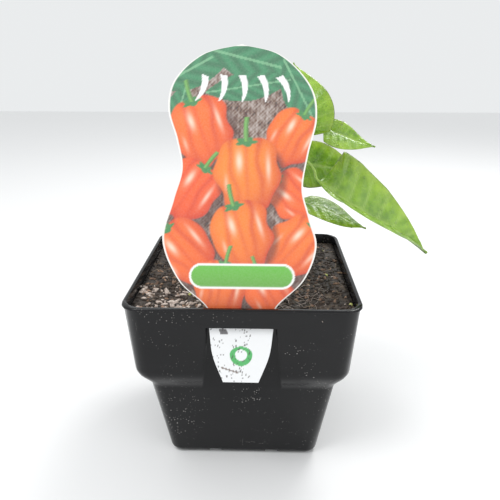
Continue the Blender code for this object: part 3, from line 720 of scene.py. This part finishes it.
def stem_mesh():
    """Ribbed green stem, slightly swollen where each leaf joins."""
    samples = stem_samples(20)
    joins = [spec["joins"] * MM for spec in LEAVES]
    rings = []
    for k, (centre, radius) in enumerate(samples):
        ahead = samples[min(k + 1, len(samples) - 1)][0]
        behind = samples[max(k - 1, 0)][0]
        frame_turn = (ahead - behind).to_track_quat("Z", "Y")
        swell = 1.0 + 0.10 * sum(math.exp(-((centre.z - z) / (1.4 * MM)) ** 2) for z in joins)
        ring = []
        for step in range(24):
            angle = math.tau * step / 24
            rib = 1.0 + 0.035 * math.cos(5.0 * angle)
            spoke = Vector((math.cos(angle), math.sin(angle), 0.0)) * (radius * rib * swell * 0.97)
            ring.append(centre + frame_turn @ spoke)
        rings.append(ring)
    mesh = mesh_from_rings("main_stem_skin", rings)
    streak = [0.8 if step % 5 < 2 else 0.1 for _ in samples for step in range(24)]
    for name, values in (("vein", streak), ("upper", [1.0] * len(streak))):
        layer = mesh.attributes.new(name, "FLOAT", "POINT")
        layer.data.foreach_set("value", values)
    return mesh


def blade_width(u, belly):
    return math.sin(math.pi * u ** belly) ** (0.60 + 0.75 * u)


def vein_pattern(u, t, pairs=8):
    """Midrib and side veins: 1 on a vein, 0 between, and the puffed height between them."""
    side = abs(t)
    rib = math.exp(-(side / 0.05) ** 2)
    phase = u * pairs - 1.35 * side ** 0.8 * (1.0 - 0.4 * u)
    near = phase - round(phase)
    branch = math.exp(-(near / 0.055) ** 2) * (1.0 - 0.75 * side) * (1.0 if u > 0.015 else 0.0)
    cross = math.sin(phase * 6.0 * math.pi) * math.sin(side * 5.0 * math.pi)
    puff = math.cos(math.pi * near) ** 2
    puff = (1.0 - puff) * math.sin(math.pi * min(1.0, side * 1.05)) ** 0.6
    return max(rib, 0.8 * branch), puff + 0.22 * cross * math.sin(math.pi * side)


def keep_inside(point):
    """Nearest place to a point that lies within the solid model's box."""
    low, high = CAD_BOX
    return Vector(max(low[k], min(high[k], point[k])) for k in range(3))


def leaf_mesh(spec, number, columns=18, steps=16):
    """Blade and stalk as one closed skin, quilted between its veins."""
    stalk = [Vector(point) * MM for point in spec["stalk"]]
    blade = [Vector(point) * MM for point in spec["blade"]]
    centre, radius = stem_at(spec["joins"] * MM)
    outward = (stalk[0] - centre).normalized()
    flat_out = Vector((outward.x, outward.y, 0.0)).length
    clear = radius + STALK_SEAT + STALK_RADIUS * abs(outward.z)
    stalk = [centre + outward * (clear / flat_out)] + stalk
    points = stalk + blade
    face = Vector(spec["face"])
    biggest = max(spec["half"])
    quilt = 0.035 * biggest * MM
    rings = []
    veins = []
    uppers = []
    for k in range((len(points) - 1) * steps + 1):
        position = k / steps
        middle = smooth_point(points, position)
        ahead = smooth_point(points, min(position + 0.05, len(points) - 1.0))
        behind = smooth_point(points, max(position - 0.05, 0.0))
        along = (ahead - behind).normalized()
        across = along.cross(face).normalized()
        up = across.cross(along)
        u = max(0.0, (position - len(stalk)) / (len(blade) - 1))
        flat = min(1.0, 5.0 * u)
        thick = lerp(STALK_RADIUS, BLADE_HALF_THICK, flat) * (1.0 if u < 0.9 else 0.6)
        rows = {1: [], -1: []}
        for column in range(-columns, columns + 1):
            t = column / columns
            side = 0 if column < 0 else 1
            share = blade_width(min(u, 0.985), spec["belly"][side]) if u > 0.0 else 0.0
            width = max(STALK_RADIUS * (1.0 - 0.5 * u), spec["half"][side] * MM * share)
            lift = math.radians(spec["lift"][side]) * flat
            reach = lerp(math.sin(0.5 * math.pi * t) * STALK_RADIUS, t * width, flat)
            spot = middle + across * (reach * math.cos(lift)) + up * (abs(reach) * math.sin(lift))
            spot -= along * (spec["sweep"][side] * abs(t) * max(0.0, width - STALK_RADIUS) * flat)
            vein, puff = vein_pattern(u, t) if u > 0.0 else (0.6, 0.0)
            ruffle = math.sin(9.0 * u + 2.1 * number + (1.5 if t < 0 else 0.0)) * abs(t) ** 3
            rise = flat * (quilt * (puff - 0.9 * math.exp(-(t / 0.07) ** 2)) + 0.5 * quilt * ruffle)
            plump = thick * math.sqrt(max(0.0, 1.0 - math.sin(0.5 * math.pi * t) ** 2))
            rib = 1.0 + 1.3 * math.exp(-(t / 0.06) ** 2) * flat * (1.0 - u)
            rows[1].append((spot + up * (rise + plump), vein))
            rows[-1].append((spot + up * (rise - plump * rib), vein))
        ring = rows[1] + rows[-1][-2:0:-1]
        rings.append([keep_inside(place) for place, _ in ring])
        veins += [vein for _, vein in ring]
        uppers += [1.0] * len(rows[1]) + [0.0] * (len(ring) - len(rows[1]))
    mesh = mesh_from_rings(spec["name"] + "_skin", rings)
    for name, values in (("vein", veins), ("upper", uppers)):
        layer = mesh.attributes.new(name, "FLOAT", "POINT")
        layer.data.foreach_set("value", values)
    return mesh


# ---------------------------------------------------------------- settings
class ChilliPotSettings(bpy.types.PropertyGroup):
    colour: FloatVectorProperty(name="Pot colour", description="Colour of the moulded plastic",
                                subtype="COLOR", default=(0.004, 0.004, 0.0045))
    sharp_angle: FloatProperty(name="Sharp angle", description="Edges past this angle stay crisp",
                               subtype="ANGLE", default=math.radians(38.0))


class ChilliLabelSettings(bpy.types.PropertyGroup):
    columns: IntProperty(name="Print columns", description="Fineness of the print", default=130)
    rows: IntProperty(name="Print rows", description="Fineness of the print", default=330)


class ChilliSoilSettings(bpy.types.PropertyGroup):
    crumbs: FloatProperty(name="Crumb density", description="Crumbs per square metre",
                          default=330000.0)
    chips: FloatProperty(name="Bark density", description="Bark chips per square metre",
                         default=42000.0)
    fibres: FloatProperty(name="Fibre density", description="Fibres per square metre",
                          default=26000.0)
    corner_bark: FloatProperty(name="Corner bark", description="Pale chips per square metre there",
                               default=140000.0)
    neck_fibres: FloatProperty(name="Neck fibres", description="Pale fibres per square metre there",
                               default=160000.0)
    feed: FloatProperty(name="Feed grains", description="Feed grains per square metre",
                        default=900.0)


class ChilliPlantSettings(bpy.types.PropertyGroup):
    dark: FloatVectorProperty(name="Dark green", description="Dark green of the leaves",
                              subtype="COLOR", default=(0.105, 0.235, 0.008))
    light: FloatVectorProperty(name="Light green", description="Light green of the leaves",
                               subtype="COLOR", default=(0.30, 0.50, 0.028))


class ChilliStageSettings(bpy.types.PropertyGroup):
    lens: FloatProperty(name="Lens", description="Focal length in millimetres", default=38.78)
    key_power: FloatProperty(name="Key light", description="Power of the main light",
                             unit="POWER", default=1.5)


# ---------------------------------------------------------------- operators
class SCENE_OT_chilli_pot(bpy.types.Operator):
    """Give the moulded pot its gloss, moulding waves and dry dirt specks"""
    bl_idname = "scene.chilli_pot"
    bl_label = "Pot"

    def execute(self, context):
        settings = context.scene.chilli_pot
        mesh = merged_copy("pot", settings.sharp_angle)
        link_piece("nursery_pot", mesh, pot_material(tuple(settings.colour)), ["pot"])
        return {"FINISHED"}


class SCENE_OT_chilli_label(bpy.types.Operator):
    """Print the leaning plant label"""
    bl_idname = "scene.chilli_label"
    bl_label = "Plant label"

    def execute(self, context):
        settings = context.scene.chilli_label
        mesh = label_mesh(settings.columns, settings.rows)
        link_piece("plant_label_sheet", mesh, label_material(), ["plant_label"])
        return {"FINISHED"}


def part_of(ground, x_low, x_high, y_low, y_high):
    """Copy of the ground mesh that keeps only the faces within a rectangle."""
    patch = ground.copy()
    bm = bmesh.new()
    bm.from_mesh(patch)
    spare = []
    for face in bm.faces:
        middle = face.calc_center_median()
        if not (x_low < middle.x < x_high and y_low < middle.y < y_high):
            spare.append(face)
    bmesh.ops.delete(bm, geom=spare, context="FACES")
    bm.to_mesh(patch)
    bm.free()
    return patch


class SCENE_OT_chilli_soil(bpy.types.Operator):
    """Lumpy damp mix with crumbs, bark chips, fibres and fertiliser grains"""
    bl_idname = "scene.chilli_soil"
    bl_label = "Potting mix"

    def execute(self, context):
        settings = context.scene.chilli_soil
        mesh = merged_copy("potting_mix", math.radians(50.0))
        link_piece("potting_mix_block", mesh, soil_material(), ["potting_mix"])
        ground = bpy.data.meshes.new("soil_ground")
        bm = bmesh.new()
        bm.from_mesh(mesh)
        level = SOIL_TOP - GROUND_DEPTH
        inner = RIM_HALF - GROUND_MARGIN
        spare = []
        for face in bm.faces:
            middle = face.calc_center_median()
            outside = max(abs(middle.x), abs(middle.y)) > inner
            if face.normal.z < 0.5 or middle.z < level or outside:
                spare.append(face)
        bmesh.ops.delete(bm, geom=spare, context="FACES")
        bm.to_mesh(ground)
        bm.free()
        crumb = grain_material("mix_crumbs", (0.008, 0.006, 0.006), (0.07, 0.045, 0.03), 0.6, 300.0)
        bark = grain_material("bark_chips", (0.10, 0.055, 0.035), (0.42, 0.26, 0.17), 0.7, 500.0)
        pale = grain_material("pale_bark", (0.34, 0.26, 0.22), (0.72, 0.62, 0.55), 0.8, 600.0)
        fibre = grain_material("dry_fibres", (0.20, 0.12, 0.07), (0.55, 0.42, 0.28), 0.7, 300.0)
        prill = grain_material("feed_grains", (0.40, 0.44, 0.10), (0.62, 0.62, 0.22), 0.35, 200.0)
        for name, shape, material, sizes in (
                ("soil_crumbs", shape_crumb, crumb, (settings.crumbs, 0.3, 1.1, 3)),
                ("soil_bark", shape_chip, bark, (settings.chips, 0.4, 1.5, 5)),
                ("soil_pale_bark", shape_chip, pale, (0.25 * settings.chips, 0.3, 1.0, 8)),
                ("soil_fibres", shape_fibre, fibre, (settings.fibres, 0.4, 1.0, 6)),
                ("soil_feed", shape_crumb, prill, (settings.feed, 0.8, 1.1, 12))):
            strew(name, ground.copy(), shape, material, sizes)
        corner = part_of(ground, *BARK_CORNER)
        strew("soil_corner_bark", corner, shape_chip, pale,
              (settings.corner_bark, 0.5, 1.9, 31))
        neck = part_of(ground, *FIBRE_PATCH)
        strew("soil_neck_fibres", neck, shape_fibre, pale,
              (settings.neck_fibres, 0.4, 1.1, 32))
        return {"FINISHED"}


class SCENE_OT_chilli_stem(bpy.types.Operator):
    """Ribbed green stem"""
    bl_idname = "scene.chilli_stem"
    bl_label = "Stem"

    def execute(self, context):
        material = leaf_material("stem_skin", (0.10, 0.20, 0.02), (0.30, 0.44, 0.08),
                                 (0.42, 0.55, 0.14), (0.26, 0.40, 0.07))
        link_piece("stem_skin", stem_mesh(), material, ["main_stem"])
        return {"FINISHED"}


class SCENE_OT_chilli_leaves(bpy.types.Operator):
    """Veined, quilted leaves with rain drops"""
    bl_idname = "scene.chilli_leaves"
    bl_label = "Leaves"

    def execute(self, context):
        settings = context.scene.chilli_plant
        grown = leaf_material("leaf_green", tuple(settings.dark), tuple(settings.light),
                              (0.46, 0.62, 0.16), (0.16, 0.30, 0.03))
        young = leaf_material("young_leaf_green", (0.16, 0.30, 0.02), (0.34, 0.52, 0.06),
                              (0.5, 0.64, 0.2), (0.30, 0.44, 0.10))
        water = water_material()
        for number, spec in enumerate(LEAVES):
            small = spec["name"].startswith("young")
            mesh = leaf_mesh(spec, number)
            link_piece(spec["name"] + "_blade", mesh, young if small else grown,
                       [spec["name"]])
            if spec["drops"] > 0.0:
                ground = mesh.copy()
                bm = bmesh.new()
                bm.from_mesh(ground)
                upper = bm.verts.layers.float["upper"]
                spare = [f for f in bm.faces if min(v[upper] for v in f.verts) < 1.0
                         or f.calc_area() < 1e-9]
                bmesh.ops.delete(bm, geom=spare, context="FACES")
                bm.to_mesh(ground)
                bm.free()
                strew(spec["name"] + "_drops", ground, shape_drop, water,
                      (spec["drops"] * 9000.0, 0.35, 1.15, 20 + number))
        return {"FINISHED"}


class SCENE_OT_chilli_stage(bpy.types.Operator):
    """Pale floor, soft lights and the camera"""
    bl_idname = "scene.chilli_stage"
    bl_label = "Stage"

    def execute(self, context):
        settings = context.scene.chilli_stage
        mesh = bpy.data.meshes.new("floor")
        bm = bmesh.new()
        bmesh.ops.create_grid(bm, x_segments=1, y_segments=1, size=1.6)
        bm.to_mesh(mesh)
        bm.free()
        floor = bpy.data.objects.new("floor", mesh)
        context.scene.collection.objects.link(floor)
        material, _, shader = new_material("pale_floor", 0.7)
        shader.inputs["Base Color"].default_value = (0.86, 0.86, 0.86, 1.0)
        mesh.materials.append(material)
        world = bpy.data.worlds.new("soft_daylight")
        world.use_nodes = True
        backdrop = world.node_tree.nodes["Background"]
        backdrop.inputs["Color"].default_value = (0.97, 0.99, 1.0, 1.0)
        backdrop.inputs["Strength"].default_value = 0.85
        context.scene.world = world
        middle = Vector((0.01, 0.0, 0.09))
        for name, place, size, power in (("key", (-0.35, -0.30, 0.75), 0.35, settings.key_power * 1.6),
                                         ("rim", (0.30, 0.45, 0.70), 0.30, settings.key_power * 1.8),
                                         ("fill", (0.60, -0.55, 0.30), 0.60, settings.key_power * 0.6)):
            light = bpy.data.lights.new(name, "AREA")
            light.size = size
            light.energy = power
            lamp = bpy.data.objects.new(name, light)
            lamp.location = place
            lamp.rotation_euler = (middle - Vector(place)).to_track_quat("-Z", "Y").to_euler()
            context.scene.collection.objects.link(lamp)
        camera = bpy.data.cameras.new("camera")
        camera.lens = settings.lens
        camera.clip_start = 0.01
        view = bpy.data.objects.new("camera", camera)
        view.location = CAMERA_PLACE
        view.rotation_euler = (0.5 * math.pi - CAMERA_DIP, 0.0, CAMERA_TURN)
        context.scene.collection.objects.link(view)
        context.scene.camera = view
        context.scene.view_settings.view_transform = "Standard"
        return {"FINISHED"}


OPERATORS = (SCENE_OT_chilli_stage, SCENE_OT_chilli_pot, SCENE_OT_chilli_soil,
             SCENE_OT_chilli_label, SCENE_OT_chilli_stem, SCENE_OT_chilli_leaves)
SETTINGS = {"chilli_pot": ChilliPotSettings, "chilli_label": ChilliLabelSettings,
            "chilli_soil": ChilliSoilSettings, "chilli_plant": ChilliPlantSettings,
            "chilli_stage": ChilliStageSettings}


class VIEW3D_PT_chilli(bpy.types.Panel):
    """Steps that build the potted chilli plant"""
    bl_label = "Potted chilli plant"
    bl_space_type = "VIEW_3D"
    bl_region_type = "UI"
    bl_category = "Chilli"

    def draw(self, context):
        for step in OPERATORS:
            self.layout.operator(step.bl_idname)


def register():
    for group in SETTINGS.values():
        bpy.utils.register_class(group)
    for name, group in SETTINGS.items():
        setattr(bpy.types.Scene, name, PointerProperty(type=group))
    for operator in OPERATORS:
        bpy.utils.register_class(operator)
    bpy.utils.register_class(VIEW3D_PT_chilli)


def unregister():
    bpy.utils.unregister_class(VIEW3D_PT_chilli)
    for operator in reversed(OPERATORS):
        bpy.utils.unregister_class(operator)
    for name, group in SETTINGS.items():
        delattr(bpy.types.Scene, name)
        bpy.utils.unregister_class(group)


def main():
    register()
    bpy.ops.scene.chilli_stage()
    bpy.ops.scene.chilli_pot()
    bpy.ops.scene.chilli_soil()
    bpy.ops.scene.chilli_label()
    bpy.ops.scene.chilli_stem()
    bpy.ops.scene.chilli_leaves()


if __name__ == "__main__":
    main()
